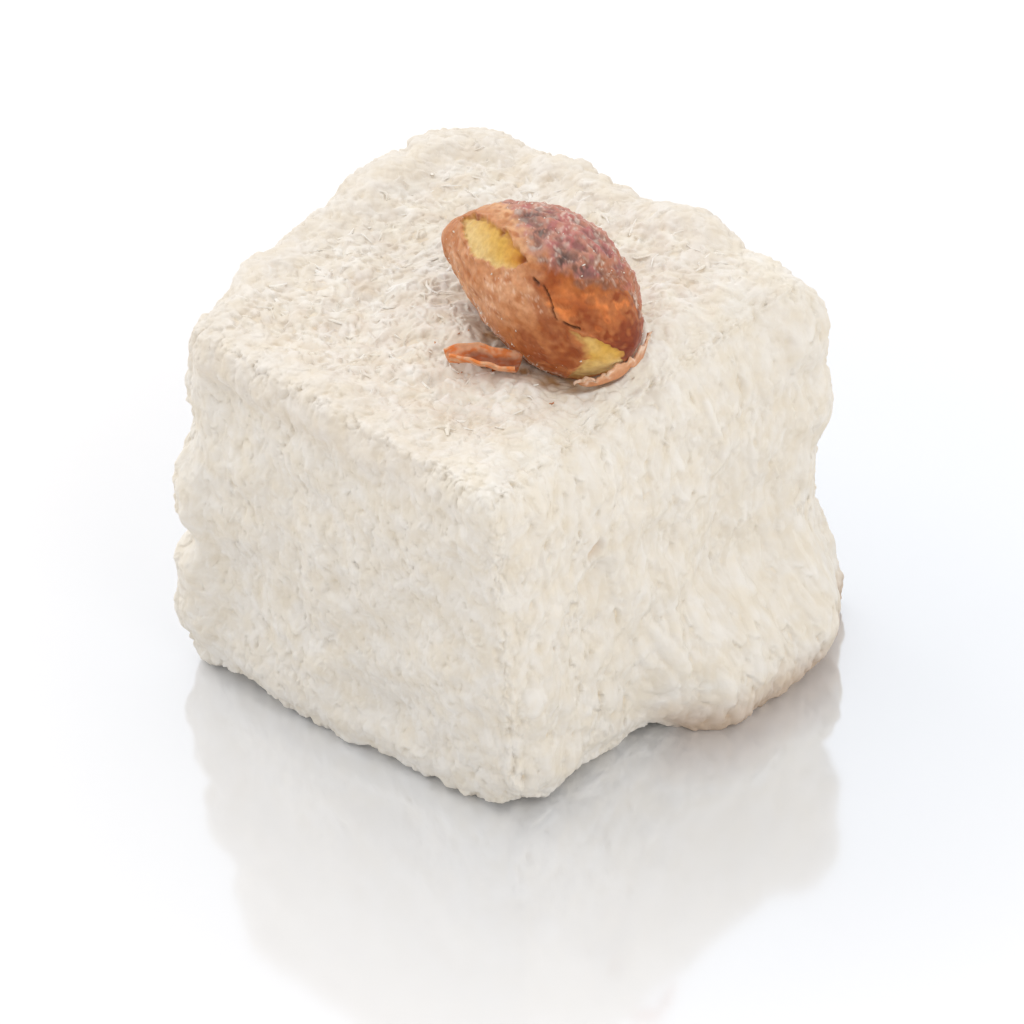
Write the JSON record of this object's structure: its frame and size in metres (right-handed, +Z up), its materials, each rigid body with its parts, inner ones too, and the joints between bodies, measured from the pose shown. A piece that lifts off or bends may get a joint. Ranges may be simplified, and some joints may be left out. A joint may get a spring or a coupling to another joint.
{
  "type": "turkish delight",
  "caption": "Soft rounded cube of turkish delight matted in fine coconut, with a roasted pistachio kernel and peeled bits of its skin resting on top.",
  "frame": {"origin": "on the floor below the middle of the part's bounding box", "axes": "+Z up, the front face looks along -Y, and the nut lies along X with its blunt end towards +X"},
  "size_m": [0.0334, 0.03, 0.0318],
  "materials": {
    "coconut": "cream-white desiccated coconut, matted on the sides and loose on top",
    "nut": "roasted pistachio: wrinkled brown and purple skin, satin, with yellow kernel at the split",
    "nut_skin": "thin brown nut skin, satin"
  },
  "bodies": {
    "root": {"block": "coconut", "pistachio": "nut", "skin_flake": "nut_skin", "skin_curl": "nut_skin"}
  },
  "joints": []
}
